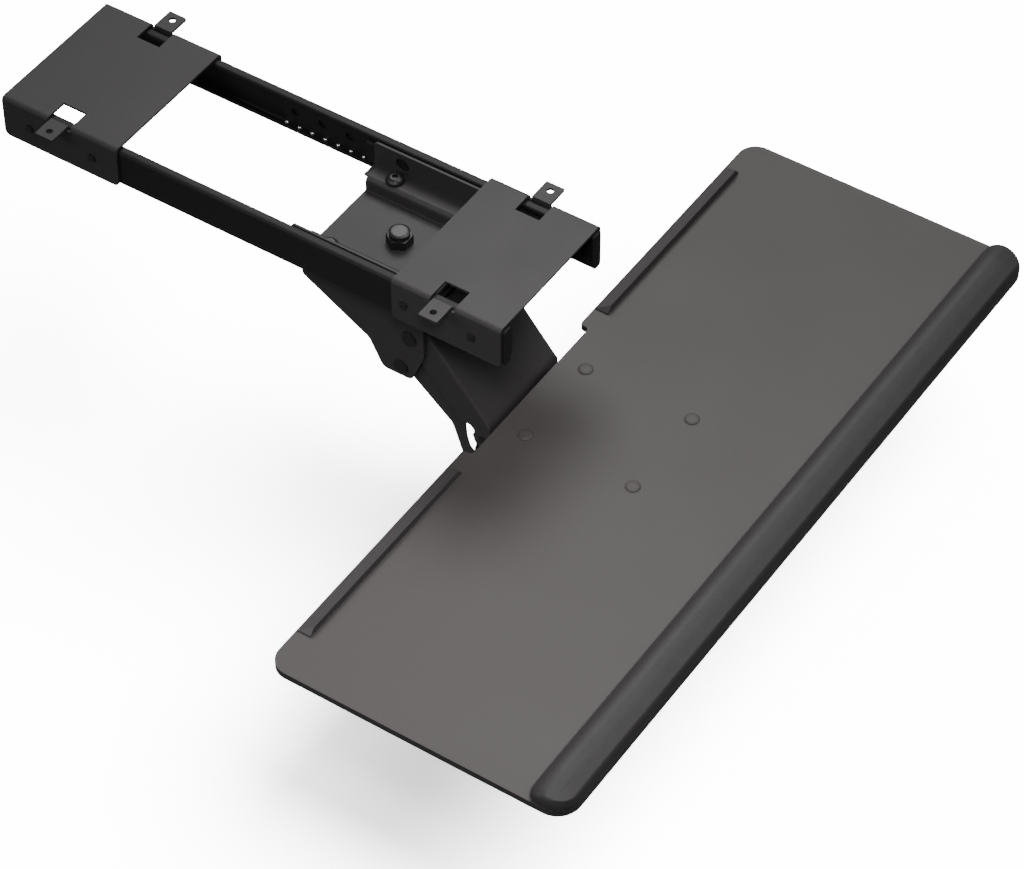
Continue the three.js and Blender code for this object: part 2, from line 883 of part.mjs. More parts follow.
function coverTopLine(inset) {
  const top = coverRise - inset;
  const bend = coverNoseBend - inset;
  const nose = THREE.MathUtils.degToRad(coverNoseAngle);
  const arc = arcPoints([-coverNoseStart, top - bend], bend, Math.PI / 2, nose, fineFacets);
  const last = arc[arc.length - 1];
  arc.push([last[0] - coverNoseLip * Math.cos(nose), last[1] - coverNoseLip * Math.sin(nose)]);
  return arc;
}

function armCover() {
  const low = coverRise - coverDepth;
  const endRadius = coverDepth / 2;
  const upperEnd = arcPoints([0, coverRise - endRadius], endRadius, -Math.PI / 2, Math.PI, roundFacets);
  const outline = [
    ...upperEnd,
    ...coverTopLine(0),
    [-linkLength, coverBoss],
    [-linkLength, 0],
    [-linkLength + coverBoss, low],
  ];
  const boss = circlePoints([-linkLength, 0], coverBoss, fineFacets);
  const section = roundRectangle(
    -coverHalf, coverHalf, low - overrun, coverRise, [0, 0, coverBend, coverBend],
  );
  const side = join([prismX(outline, -coverHalf, coverHalf), prismX(boss, -coverHalf, coverHalf)]);
  const block = side.intersect(prismY(section, -linkLength - coverBoss - overrun, endRadius + overrun));
  const innerLine = coverTopLine(coverSheet);
  const lipEnd = outline[outline.length - 4];
  const hollow = prismX(
    [
      [endRadius + overrun, coverRise - coverSheet],
      ...innerLine,
      lipEnd,
      [-linkLength - coverBoss - overrun, coverRise],
      [-linkLength - coverBoss - overrun, low - overrun],
      [endRadius + overrun, low - overrun],
    ],
    -coverInner, coverInner,
  );
  const notch = prismX(
    circlePoints([-linkLength + coverNotchSetback, -coverNotchDrop], coverNotch, roundFacets),
    -coverHalf - overrun, coverHalf + overrun,
  );
  return cut(block, [
    hollow, notch, pinHole([0, 0], pivotPin, coverHalf), pinHole([-linkLength, 0], pivotPin, coverHalf),
  ]);
}

function lowerLink() {
  const circles = lowerChainShares.map(([along, rise, radius]) => ({
    at: [-along * linkLength, rise * linkLength],
    radius: radius * linkLength,
  }));
  const profile = (x0, x1) => join([
    prismX(circlePoints([0, 0], lowerBoss, roundFacets), x0, x1),
    ...circles.slice(1).map((circle, i) => prismX(beltOutline([circles[i], circle]), x0, x1)),
  ]);
  const [webA, webB] = tangentPoints(circles[1], circles[0]).reverse();
  const way = new THREE.Vector2(webB[0] - webA[0], webB[1] - webA[1]).normalize();
  const place = (along, inward) => [
    webA[0] + way.x * along + way.y * inward,
    webA[1] + way.y * along - way.x * inward,
  ];
  const strip = prismX(
    [
      place(lowerWebStart, lowerSheet),
      place(lowerWebStart + lowerWebLength, lowerSheet),
      place(lowerWebStart + lowerWebLength, -overrun),
      place(lowerWebStart, -overrun),
    ],
    -lowerHalf, lowerHalf,
  );
  const web = profile(-lowerHalf, lowerHalf).intersect(strip);
  const plates = sides.map(([, sign]) => onSide(profile(lowerInner, lowerHalf), sign));
  return cut(join([web, ...plates]), [
    pinHole([0, 0], pivotPin, lowerHalf), pinHole([-linkLength, 0], pivotPin, lowerHalf),
  ]);
}

// Head bracket between the links and the tray's tilt ears
const trayTop = -headUpper[1] - trayRise;
const trayUnder = -trayTop - traySheet;
const trayRearY = headUpper[0] - trayRearSetback;
const tiltPivot = [headUpper[0] - tiltSetback, trayUnder - tiltDrop];
const headInner = headOuter - headSheet;
const earOuter = headInner - sideGap;

function headBracket() {
  const circles = [
    { at: headLower, radius: headBossLower },
    { at: headUpper, radius: headBossUpper },
    { at: tiltPivot, radius: headBossTilt },
  ];
  const outline = beltOutline(circles);
  const [low, high] = tangentPoints(circles[2], circles[0]);
  const way = new THREE.Vector2(high[0] - low[0], high[1] - low[1]);
  const start = (way.length() - headWebLength) / 2;
  way.normalize();
  const place = (along, inward) => [
    low[0] + way.x * along - way.y * inward,
    low[1] + way.y * along + way.x * inward,
  ];
  const strip = prismX(
    [
      place(start, -overrun),
      place(start + headWebLength, -overrun),
      place(start + headWebLength, headSheet),
      place(start, headSheet),
    ],
    -headOuter, headOuter,
  );
  const web = prismX(outline, -headOuter, headOuter).intersect(strip);
  const plates = sides.map(([, sign]) => onSide(prismX(outline, headInner, headOuter), sign));
  return cut(join([web, ...plates]), [
    pinHole(headUpper, pivotPin, headOuter), pinHole(headLower, pivotPin, headOuter),
    pinHole(tiltPivot, tiltPin, headOuter),
  ]);
}

// Mounting plate under the tray
const plateTop = trayUnder - seatGap;
const plateRear = trayRearY - plateRearInset;
const boltYs = [trayRearY - boltRearInset, trayRearY - boltRearInset - boltSpanY];
const boltPlaces = sides.flatMap(([side, sign]) => boltYs.map((y, i) => ({
  name: `${side}_${i === 0 ? "rear" : "front"}`,
  at: [(sign * boltSpanX) / 2, y],
})));
const boltHoles = () => boltPlaces.map(({ at }) => circlePoints(at, boltShank / 2 + holeGap, coarseFacets));

function mountingPlate() {
  const corners = [plateCorner, plateCorner, plateCorner, plateCorner];
  const plate = prismZ(
    roundRectangle(-plateWidth / 2, plateWidth / 2, plateRear - plateLength, plateRear, corners),
    plateTop - plateSheet, plateTop, boltHoles(),
  );
  const shoulder = plateTop - plateSheet - earCorner + earCorner / 2;
  const ear = beltOutline([
    { at: tiltPivot, radius: headBossTilt },
    { at: [tiltPivot[0] + earHalf - earCorner, shoulder], radius: earCorner },
    { at: [tiltPivot[0] - earHalf + earCorner, shoulder], radius: earCorner },
  ]);
  const clip = blockSolid(
    -earOuter, earOuter, plateRear - plateLength, plateRear + overrun,
    tiltPivot[1] - headBossTilt - overrun, plateTop - plateSheet / 2,
  );
  const ears = sides.map(([, sign]) => (
    onSide(prismX(ear, earOuter - earSheet, earOuter), sign).intersect(clip)
  ));
  return cut(join([plate, ...ears]), [pinHole(tiltPivot, tiltPin, earOuter)]);
}

function trayBoard() {
  const half = trayWidth / 2;
  const front = trayRearY - trayDepth;
  const notch = notchWidth / 2;
  const outline = roundCorners(
    [
      [-half, front],
      [half, front],
      [half, trayRearY],
      [notch, trayRearY],
      [notch, trayRearY - notchDepth],
      [-notch, trayRearY - notchDepth],
      [-notch, trayRearY],
      [-half, trayRearY],
    ],
    [
      trayFrontCorner, trayFrontCorner, trayRearCorner, notchCorner,
      notchCorner, notchCorner, notchCorner, trayRearCorner,
    ],
    fineFacets,
  );
  return prismZ(outline, trayUnder, -trayTop, boltHoles());
}

function carriageBolt() {
  const base = -trayTop + seatGap;
  const end = plateTop - plateSheet - seatGap - boltNutRise - boltEnd;
  const radius = boltHead / 2;
  return turned([
    [0, end],
    [boltShank / 2, end],
    [boltShank / 2, base],
    ...boltDomeShares.map(([out, up]) => [radius * out, base + boltRise * up]),
  ]);
}

function boltNut() {
  const top = plateTop - plateSheet - seatGap;
  return prismZ(
    hexOutline(boltNutAcross), top - boltNutRise, top,
    [circlePoints([0, 0], boltShank / 2 + holeGap, coarseFacets)],
  );
}

function stopBar() {
  const rear = trayRearY - stopBarInset;
  const base = -trayTop + seatGap;
  const outer = stopBarInner + stopBarLength;
  const wedge = prismX(
    [
      [rear - stopBarDepth, base],
      [rear, base],
      [rear, base + stopBarEdge],
      [rear - stopBarDepth, base + stopBarRise],
    ],
    stopBarInner, outer,
  );
  const ends = prismY(
    [
      [stopBarInner, base],
      [outer, base],
      [outer, base + stopBarEdge],
      [outer - stopBarBevel, base + stopBarRise],
      [stopBarInner + stopBarBevel, base + stopBarRise],
      [stopBarInner, base + stopBarEdge],
    ],
    rear - stopBarDepth, rear,
  );
  return wedge.intersect(ends);
}

// Palm rest: rings drawn in from the outline towards the pad's middle line, rising to a crown
function palmRest() {
  const front = trayRearY - trayDepth;
  const rear = front + padDepth;
  const half = trayWidth / 2;
  const middle = (front + rear) / 2;
  const reach = half - padDepth / 2;
  const step = trayWidth / padStations;
  const along = Array.from({ length: padStations - 1 }, (_, i) => (i + 1) * step - half);
  const inside = along.filter((x) => Math.abs(x) < half - padFrontCorner);
  const corners = roundRectangle(
    -half, half, front, rear, [padFrontCorner, padFrontCorner, padRearCorner, padRearCorner], roundFacets,
  );
  const perCorner = corners.length / 4;
  const frontRight = perCorner;
  const rearLeft = 3 * perCorner;
  const outline = [
    ...corners.slice(0, frontRight),
    ...inside.map((x) => [x, front]),
    ...corners.slice(frontRight, rearLeft),
    ...inside.map((x) => [-x, rear]),
    ...corners.slice(rearLeft),
  ];
  const base = -trayTop + seatGap;
  const positions = [];
  padShares.forEach(([inset, height]) => {
    outline.forEach(([x, y]) => {
      const toX = THREE.MathUtils.clamp(x, -reach, reach);
      positions.push(
        THREE.MathUtils.lerp(x, toX, inset),
        THREE.MathUtils.lerp(y, middle, inset),
        base + height * padRise,
      );
    });
  });
  const count = outline.length;
  const index = [];
  for (let ring = 0; ring < padShares.length - 1; ring += 1) {
    for (let i = 0; i < count; i += 1) {
      const a = ring * count + i;
      const b = ring * count + ((i + 1) % count);
      index.push(a, b, b + count, a, b + count, a + count);
    }
  }
  const ringPoints = (ring) => outline.map((_, i) => {
    const k = (ring * count + i) * 3;
    return new THREE.Vector2(positions[k], positions[k + 1]);
  });
  const top = padShares.length - 1;
  THREE.ShapeUtils.triangulateShape(ringPoints(0), []).forEach(([a, b, c]) => index.push(c, b, a));
  THREE.ShapeUtils.triangulateShape(ringPoints(top), []).forEach(([a, b, c]) => {
    index.push(top * count + a, top * count + b, top * count + c);
  });
  const geometry = new THREE.BufferGeometry();
  geometry.setAttribute("position", new THREE.Float32BufferAttribute(positions, 3));
  geometry.setIndex(index);
  return toSolid(geometry);
}

// Fixed frame under the desk
const deskFrame = new THREE.Group();
tray.add(deskFrame);
const frontBracket = deskBracket(0, frontBracketDepth, frontTabY, frontRivets);
const rearBracket = deskBracket(rearBracketStart, rearBracketDepth, rearTabY, rearRivets);
addMesh(deskFrame, "bracket_front", frontBracket, "powder");
addMesh(deskFrame, "bracket_rear", rearBracket, "powder");
const railSolid = outerRail();
const rivetSolid = slideRivet();
sides.forEach(([side, sign]) => {
  addMesh(deskFrame, `outer_slide_${side}`, onSide(railSolid, sign), "slide");
  rivetYs.forEach((y, i) => {
    addMesh(deskFrame, `slide_rivet_${side}_${i + 1}`, onSide(rivetSolid, sign), "hardware", [0, y, rivetZ]);
  });
});

// Running parts of the slides
const cageSolid = ballCage();
const innerSolid = innerRail();
const angleSolid = carriageAngle();
const screwSolid = buttonScrew();
const carriage = new THREE.Group();
tray.add(carriage);
sides.forEach(([side, sign]) => {
  addMesh(tray, `ball_cage_${side}`, onSide(cageSolid, sign), "slide");
  addMesh(carriage, `inner_slide_${side}`, onSide(innerSolid, sign), "slide");
  addMesh(carriage, `carriage_angle_${side}`, onSide(angleSolid, sign), "powder");
  buttonYs.forEach((y, i) => {
    const name = `carriage_screw_${side}_${i === 0 ? "front" : "rear"}`;
    addMesh(carriage, name, screwSolid, "hardware", [sign * buttonX, y, 0]);
  });
});
addMesh(carriage, "carriage_plate", carriagePlate(), "powder");
addMesh(carriage, "swivel_disc", swivelDiscSolid(), "bearing", [0, swivelY, 0]);

// Swivelling lift bracket
const lift = new THREE.Group();
tray.add(lift);
addMesh(lift, "lift_bracket", liftBracket(), "powder");
addMesh(lift, "swivel_bolt", swivelBolt(), "hardware", [0, swivelY, 0]);
addMesh(lift, "swivel_nut", swivelNut(), "hardware", [0, swivelY, 0]);
const liftPin = crossPin(pivotPin, liftHalf, pivotHead, pivotHeadRise);
addMesh(lift, "upper_pivot_pin", liftPin, "hardware", [0, ...upperPivot]);
addMesh(lift, "lower_pivot_pin", liftPin, "hardware", [0, ...lowerPivot]);

// Parallel links
addMesh(tray, "arm_cover", armCover(), "powder", [0, ...upperPivot], linkTurn);
addMesh(tray, "lower_link", lowerLink(), "powder", [0, ...lowerPivot], linkTurn);

// Head bracket, with shoulder pins that reach the wider links
const head = new THREE.Group();
tray.add(head);
addMesh(head, "head_bracket", headBracket(), "powder");
const upperShoulder = [headCollar / 2, headOuter + seatGap, coverInner - seatGap];
const lowerShoulder = [headCollar / 2, headOuter + seatGap, lowerInner - seatGap];
const upperShaft = join([
  prismX(circlePoints([0, 0], pivotPin / 2, roundFacets), -coverHalf, coverHalf),
  ...sides.map(([, sign]) => onSide(
    prismX(circlePoints([0, 0], upperShoulder[0], roundFacets), upperShoulder[1], upperShoulder[2]), sign,
  )),
]);
addMesh(head, "head_upper_pin", upperShaft, "hardware", [0, ...headUpper]);
const lowerShaft = crossPin(pivotPin, lowerHalf, pivotHead, pivotHeadRise, lowerShoulder);
addMesh(head, "head_lower_pin", lowerShaft, "hardware", [0, ...headLower]);
const tiltShaft = crossPin(tiltPin, headOuter, tiltPinHead, tiltPinRise);
addMesh(head, "tilt_pin", tiltShaft, "hardware", [0, ...tiltPivot]);

// Tray
const board = new THREE.Group();
tray.add(board);
addMesh(board, "mounting_plate", mountingPlate(), "powder");
addMesh(board, "tray_board", trayBoard(), "tray");
const boltSolid = carriageBolt();
const nutSolid = boltNut();
boltPlaces.forEach(({ name, at }) => {
  addMesh(board, `tray_bolt_${name}`, boltSolid, "hardware", [...at, 0]);
  addMesh(board, `tray_nut_${name}`, nutSolid, "hardware", [...at, 0]);
});
const barSolid = stopBar();
sides.forEach(([side, sign]) => {
  addMesh(board, `keyboard_stop_${side}`, onSide(barSolid, sign), "tray");
});
addMesh(board, "palm_rest", palmRest(), "pad");

export default product;
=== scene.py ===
import math

import bmesh
import bpy
from bpy.props import FloatProperty, FloatVectorProperty, IntProperty, PointerProperty
from mathutils import Euler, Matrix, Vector


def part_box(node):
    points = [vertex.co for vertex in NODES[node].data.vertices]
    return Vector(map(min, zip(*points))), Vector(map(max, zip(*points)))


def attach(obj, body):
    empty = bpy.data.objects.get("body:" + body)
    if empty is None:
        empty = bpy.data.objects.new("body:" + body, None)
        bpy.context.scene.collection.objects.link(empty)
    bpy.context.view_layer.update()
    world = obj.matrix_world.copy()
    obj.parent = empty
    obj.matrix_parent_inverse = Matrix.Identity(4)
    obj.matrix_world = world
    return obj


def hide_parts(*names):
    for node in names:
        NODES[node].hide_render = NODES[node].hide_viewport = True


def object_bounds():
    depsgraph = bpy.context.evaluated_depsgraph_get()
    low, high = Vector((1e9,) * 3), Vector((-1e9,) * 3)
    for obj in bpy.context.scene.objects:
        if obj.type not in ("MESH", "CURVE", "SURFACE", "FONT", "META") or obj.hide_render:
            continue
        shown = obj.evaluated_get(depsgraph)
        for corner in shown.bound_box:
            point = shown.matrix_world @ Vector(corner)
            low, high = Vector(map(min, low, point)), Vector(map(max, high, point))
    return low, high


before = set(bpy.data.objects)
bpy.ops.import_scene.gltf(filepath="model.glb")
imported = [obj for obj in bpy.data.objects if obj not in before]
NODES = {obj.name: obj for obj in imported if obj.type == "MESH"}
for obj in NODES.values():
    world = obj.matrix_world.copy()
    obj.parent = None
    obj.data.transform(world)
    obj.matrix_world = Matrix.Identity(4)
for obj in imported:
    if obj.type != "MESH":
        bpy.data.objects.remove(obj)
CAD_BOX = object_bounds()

bl_info = {
    "name": "Keyboard tray under desk",
    "version": (1, 0, 0),
    "blender": (4, 5, 0),
    "location": "3D View > Sidebar > Keyboard tray",
    "description": "Dresses a sliding, swivelling keyboard tray in its real finishes",
    "category": "Object",
}

MM = 0.001
SIDES = (("left", -1), ("right", 1))
ENDS = ("front", "rear")

# Camera, fitted to the photograph's straight edges
CAMERA_PLACE = (-1.86427, -1.25331, 2.15537)
CAMERA_AZIMUTH_DEGREES = -56.3912
CAMERA_ELEVATION_DEGREES = 46.3794
FOCAL_PIXELS = 4071.4723
IMAGE_WIDTH_PIXELS = 1024
SENSOR_WIDTH = 36

# Soft lights, in metres and degrees
TRAY_MIDDLE = (0, 0, -0.1)
FRONT_LIGHT_PLACE = (1.0, -0.95, 2.15)
SOFT_LIGHTS = {
    "key_light": {"place": (1.45, 0.8, 2.3), "size": (1.3, 1.3), "aim": TRAY_MIDDLE},
    "fill_light": {"place": FRONT_LIGHT_PLACE, "size": (1.5, 1.5), "aim": TRAY_MIDDLE},
    "pool_light": {
        "place": (-0.62, -0.38, 0.85), "size": (0.3, 0.3), "aim": (-0.24, -0.12, -0.13), "spread_degrees": 60,
    },
    "edge_light": {"place": (-1.75, 1.0, 1.15), "size": (1.2, 0.5), "aim": TRAY_MIDDLE},
}
FLOOR_LIGHT_ANGLE_DEGREES = 55
FLOOR_REACH = 8.0
FLOOR_ROUGHNESS = 0.9
BACKDROP_RADIUS = 9.0
BLACK = (0, 0, 0)
WHITE = (1, 1, 1, 1)


def linear(hex_code):
    """An sRGB hex value as linear red, green and blue."""
    values = [int(hex_code[i:i + 2], 16) / 255 for i in (1, 3, 5)]
    return tuple(v / 12.92 if v <= 0.04045 else ((v + 0.055) / 1.055) ** 2.4 for v in values)


def colour_property(name, description, hex_code):
    return FloatVectorProperty(
        name=name, description=description, default=linear(hex_code), size=3, min=0, max=1, subtype="COLOR",
    )


def length_property(name, description, millimetres):
    return FloatProperty(name=name, description=description, default=millimetres * MM, min=0, unit="LENGTH")


def share_property(name, description, share):
    return FloatProperty(name=name, description=description, default=share, min=0, max=1)


def count_property(name, description, count, least):
    return IntProperty(name=name, description=description, default=count, min=least)


def power_property(name, description, watts):
    return FloatProperty(name=name, description=description, default=watts, min=0, unit="POWER")


def strength_property(name, description, strength):
    return FloatProperty(name=name, description=description, default=strength, min=0)


# Sizes and colours a user would change


class TrayFinishes(bpy.types.PropertyGroup):
    """Colours of the finishes."""

    powder: colour_property("Powder coat", "Brackets, arm and carriage", "#353334")
    slide: colour_property("Slide coating", "Ball slides", "#1f1e1f")
    fastener: colour_property("Black oxide", "Screws, nuts and pins", "#262526")
    board: colour_property("Board laminate", "Top and underside of the board", "#3e3a3a")
    board_edge: colour_property("Board edge", "Sealed rim of the board", "#2b2a2a")
    stop: colour_property("Keyboard stop", "Moulded stops", "#3e3b3c")
    pad: colour_property("Palm rest cover", "Soft cover of the palm rest", "#2b292a")
    nylon: colour_property("Natural nylon", "Slip disc under the swivel", "#8b8a88")
    bearing: colour_property("Bearing steel", "Balls of the slides", "#c8c8ca")


class TraySizes(bpy.types.PropertyGroup):
    """Sizes of the fine shapes."""

    sheet_round: length_property("Sheet edge round", "Broken edge of the cut and coated sheets", 0.45)
    board_round: length_property("Board edge round", "Broken edge of the board", 0.9)
    stop_round: length_property("Stop edge round", "Moulded edge of the keyboard stops", 0.6)
    fastener_round: length_property("Fastener edge round", "Broken edge of screws, nuts and pins", 0.3)
    ball: length_property("Ball", "Diameter of the slide balls", 4.76)
    ball_seat: length_property("Ball seat", "From the cage's outer faces to the balls' centres", 2.35)
    ball_pitch: length_property("Ball pitch", "From one ball to the next", 12.6)
    ball_end_inset: length_property("Ball end inset", "From the cage's end to its first ball", 3.6)
    balls_per_end: count_property("Balls per end", "Balls in each row at one end of a cage", 7, least=1)
    pad_rear_corner: length_property("Pad rear corner", "Corner radius towards the keyboard", 10)
    pad_front_corner: length_property("Pad front corner", "Corner radius towards the user", 20)
    pad_rear_roll: length_property("Pad rear roll", "How far the cover rolls down towards the keyboard", 15)
    pad_front_roll: length_property("Pad front roll", "How far the cover rolls down towards the user", 3.6)
    pad_end_roll: length_property("Pad end roll", "How far the cover rolls down at each end", 6)
    pad_crown: length_property("Pad crown", "Rise of the middle over the rolled sides", 0.4)
    pad_front_drop: share_property("Pad front drop", "How much lower the cover is at its front edge", 0.48)
    pad_end_drop: share_property("Pad end drop", "How much lower the cover is at each end", 0.25)
    pad_end_slope: length_property("Pad end slope", "Length over which the cover falls towards each end", 26)
    pad_rings: count_property("Pad rings", "Rings from the pad's base to its crown", 26, least=6)


class TrayStage(bpy.types.PropertyGroup):
    """Floor and lights."""

    floor: colour_property("Floor", "Plain pale floor", "#fafafa")
    floor_drop: length_property("Floor drop", "Gap from the lowest piece to the floor", 70)
    floor_glow: strength_property("Floor glow", "Light of the floor's own in deep shade", 1.1)
    floor_light: strength_property("Floor light", "Strength of the light on the floor alone", 48)
    key_light: power_property("Key light", "Power of the large soft light", 62)
    fill_light: power_property("Fill light", "Power of the soft light in front", 28)
    pool_light: power_property("Pool light", "Power of the light over the board", 1.4)
    edge_light: power_property("Edge light", "Power of the light behind the slides", 13)
    sky: strength_property("Sky", "Even light from all round", 0.15)


def finishes():
    return bpy.context.scene.tray_finishes


def sizes():
    return bpy.context.scene.tray_sizes


# Materials

MIX_FACTOR, MIX_FIRST, MIX_SECOND, MIX_RESULT = 0, 6, 7, 2


def add_node(tree, kind, sockets=None, **settings):
    """Adds a node. A socket's value is a number or colour, or another node's output to link."""
    node = tree.nodes.new(kind)
    for key, value in settings.items():
        setattr(node, key, value)
    for key, value in (sockets or {}).items():
        if isinstance(value, bpy.types.NodeSocket):
            tree.links.new(value, node.inputs[key])
        else:
            node.inputs[key].default_value = value
    return node


def start_material(name):
    """A node material with one principled shader, and object coordinates in metres."""
    material = bpy.data.materials.new(name)
    material.use_nodes = True
    tree = material.node_tree
    tree.nodes.clear()
    output = add_node(tree, "ShaderNodeOutputMaterial")
    shader = add_node(tree, "ShaderNodeBsdfPrincipled")
    tree.links.new(shader.outputs["BSDF"], output.inputs["Surface"])
    place = add_node(tree, "ShaderNodeTexCoord").outputs["Object"]
    return material, tree, shader, place


def per_metre(millimetres):
    """Texture scale that repeats about once in so many millimetres."""
    return 1 / (millimetres * MM)


def noise(tree, place, size_mm, detail=2.0):
    """Cloudy noise with features of about the given size."""
    return add_node(tree, "ShaderNodeTexNoise", {
        "Vector": place, "Scale": per_metre(size_mm), "Detail": detail,
    }).outputs["Fac"]


def cells(tree, place, size_mm):
    """Distance from the middle of the nearest cell, with cells of about the given size."""
    return add_node(tree, "ShaderNodeTexVoronoi", {
        "Vector": place, "Scale": per_metre(size_mm),
    }, feature="F1").outputs["Distance"]


def drawn_out(tree, place, scale):
    """Coordinates that draw a pattern out along each axis whose scale is below 1."""
    return add_node(tree, "ShaderNodeMapping", {"Vector": place, "Scale": scale}).outputs[0]


def between(tree, factor, low, high):
    """A value that runs from low to high with the factor."""
    return add_node(tree, "ShaderNodeMapRange", {"Value": factor, "To Min": low, "To Max": high}).outputs[0]


def shaded(tree, factor, colour, low, high):
    """The colour, or another node's colour, times a shade that runs from low to high."""
    shade = between(tree, factor, low, high)
    grey = add_node(tree, "ShaderNodeCombineColor", {key: shade for key in ("Red", "Green", "Blue")})
    first = colour if isinstance(colour, bpy.types.NodeSocket) else (*colour, 1)
    mix = add_node(tree, "ShaderNodeMix", {MIX_FACTOR: 1.0, MIX_FIRST: first, MIX_SECOND: grey.outputs[0]},
                   data_type="RGBA", blend_type="MULTIPLY")
    return mix.outputs[MIX_RESULT]


def relief(tree, height, strength, depth_mm, over=None, invert=False):
    """Bump from a pattern's height, over another bump where one is given."""
    sockets = {"Height": height, "Strength": strength, "Distance": depth_mm * MM}
    if over is not None:
        sockets["Normal"] = over
    return add_node(tree, "ShaderNodeBump", sockets, invert=invert).outputs[0]


def lay_on(tree, shader, colour, roughness, normal=None, values=None):
    """Links a finish's colour, roughness and relief, and sets the shader's even values."""
    for name, socket in (("Base Color", colour), ("Roughness", roughness), ("Normal", normal)):
        if socket is not None:
            tree.links.new(socket, shader.inputs[name])
    for name, value in (values or {}).items():
        shader.inputs[name].default_value = value


def powder_coated_steel():
    """Mild steel sheet with a matt black powder coat, baked on.

    The coat hides the metal, so it reads as a dull paint with a fine pebbled skin and a weak,
    broad highlight. The real pebbles are about 0.4 mm, drawn at 1.1 mm so that they show.
    """
    material, tree, shader, place = start_material("powder_coated_steel")
    pebble = noise(tree, place, size_mm=1.1, detail=3.0)
    cloud = noise(tree, place, size_mm=55)
    lay_on(
        tree, shader,
        colour=shaded(tree, pebble, finishes().powder, low=0.88, high=1.12),
        roughness=between(tree, cloud, low=0.44, high=0.54),
        normal=relief(tree, pebble, strength=0.16, depth_mm=0.15),
        values={"IOR": 1.5, "Specular IOR Level": 0.2},
    )
    return material


def coated_slide_steel():
    """Roll-formed slide steel under a thin black electro-coat.

    The rolls leave faint lines along the slide, and the thin coat keeps a satin shine.
    Lines are about 0.6 mm apart.
    """
    material, tree, shader, place = start_material("electro_coated_slide_steel")
    lines = noise(tree, drawn_out(tree, place, scale=(1.0, 0.012, 1.0)), size_mm=0.6)
    lay_on(
        tree, shader,
        colour=shaded(tree, lines, finishes().slide, low=0.8, high=1.2),
        roughness=between(tree, lines, low=0.42, high=0.52),
        normal=relief(tree, lines, strength=0.1, depth_mm=0.1),
        values={"IOR": 1.5, "Specular IOR Level": 0.15},
    )
    return material


def black_oxide_steel():
    """Cold-headed steel fasteners, black oxide with an oil finish.

    Part metal, part oxide skin: darker than the sheets, with a tighter highlight and a little
    unevenness. Its blotches are about 2.5 mm.
    """
    material, tree, shader, place = start_material("black_oxide_steel")
    blotch = noise(tree, place, size_mm=2.5, detail=4.0)
    lay_on(
        tree, shader,
        colour=shaded(tree, blotch, finishes().fastener, low=0.8, high=1.25),
        roughness=between(tree, blotch, low=0.28, high=0.42),
        values={"Metallic": 0.4},
    )
    return material


def pressed_laminate():
    """Pressed board with a matt melamine laminate.

    A low, even sheen with very fine pebbling and slight clouding. The real pebbles are about
    0.3 mm, drawn at 1 mm so that they show.
    """
    material, tree, shader, place = start_material("melamine_laminate")
    pebble = noise(tree, place, size_mm=1.0)
    cloud = noise(tree, place, size_mm=90, detail=3.0)
    pebbled = shaded(tree, pebble, finishes().board, low=0.9, high=1.1)
    lay_on(
        tree, shader,
        colour=shaded(tree, cloud, pebbled, low=0.93, high=1.07),
        roughness=between(tree, cloud, low=0.5, high=0.6),
        normal=relief(tree, pebble, strength=0.1, depth_mm=0.1),
        values={"IOR": 1.5, "Specular IOR Level": 0.3},
    )
    return material


def matched_paint():
    """Steel bolt heads, sprayed to match the board.

    The same grey as the laminate, with an even sheen and a shallow orange-peel skin about 0.9 mm
    across as drawn.
    """
    material, tree, shader, place = start_material("sprayed_bolt_paint")
    peel = noise(tree, place, size_mm=0.9, detail=1.0)
    lay_on(
        tree, shader,
        colour=shaded(tree, peel, finishes().board, low=0.95, high=1.05),
        roughness=between(tree, peel, low=0.52, high=0.6),
        normal=relief(tree, peel, strength=0.08, depth_mm=0.1),
        values={"IOR": 1.5, "Specular IOR Level": 0.3},
    )
    return material


def sealed_edge():
    """The board's routed rim, sealed with dark lacquer.

    Darker and a little shinier than the faces, with short lines from the cutter about 2 mm apart.
    """
    material, tree, shader, place = start_material("lacquered_board_edge")
    lines = noise(tree, drawn_out(tree, place, scale=(1.0, 1.0, 0.1)), size_mm=2.0)
    lay_on(
        tree, shader,
        colour=shaded(tree, lines, finishes().board_edge, low=0.85, high=1.15),
        roughness=between(tree, lines, low=0.4, high=0.5),
        values={"IOR": 1.5},
    )
    return material


def moulded_abs():
    """Keyboard stops of moulded ABS: a dull skin with a fine spark-eroded texture.

    The texture is about 0.8 mm as drawn.
    """
    material, tree, shader, place = start_material("moulded_abs")
    grain = noise(tree, place, size_mm=0.8)
    lay_on(
        tree, shader,
        colour=shaded(tree, grain, finishes().stop, low=0.88, high=1.12),
        roughness=between(tree, grain, low=0.42, high=0.52),
        normal=relief(tree, grain, strength=0.12, depth_mm=0.1),
        values={"IOR": 1.54},
    )
    return material


def moulded_nylon():
    """Natural nylon, moulded: pale grey, slightly waxy, with flow marks about 6 mm long."""
    material, tree, shader, place = start_material("moulded_nylon")
    flow = noise(tree, place, size_mm=6)
    lay_on(
        tree, shader,
        colour=shaded(tree, flow, finishes().nylon, low=0.85, high=1.2),
        roughness=between(tree, flow, low=0.38, high=0.5),
        values={"IOR": 1.53},
    )
    return material


def polished_bearing_steel():
    """Hardened, ground and polished steel balls: a small sharp highlight with faint haze."""
    material, tree, shader, place = start_material("polished_bearing_steel")
    haze = noise(tree, place, size_mm=1.5)
    lay_on(
        tree, shader,
        colour=shaded(tree, haze, finishes().bearing, low=0.92, high=1.05),
        roughness=between(tree, haze, low=0.12, high=0.22),
        values={"Metallic": 1.0},
    )
    return material


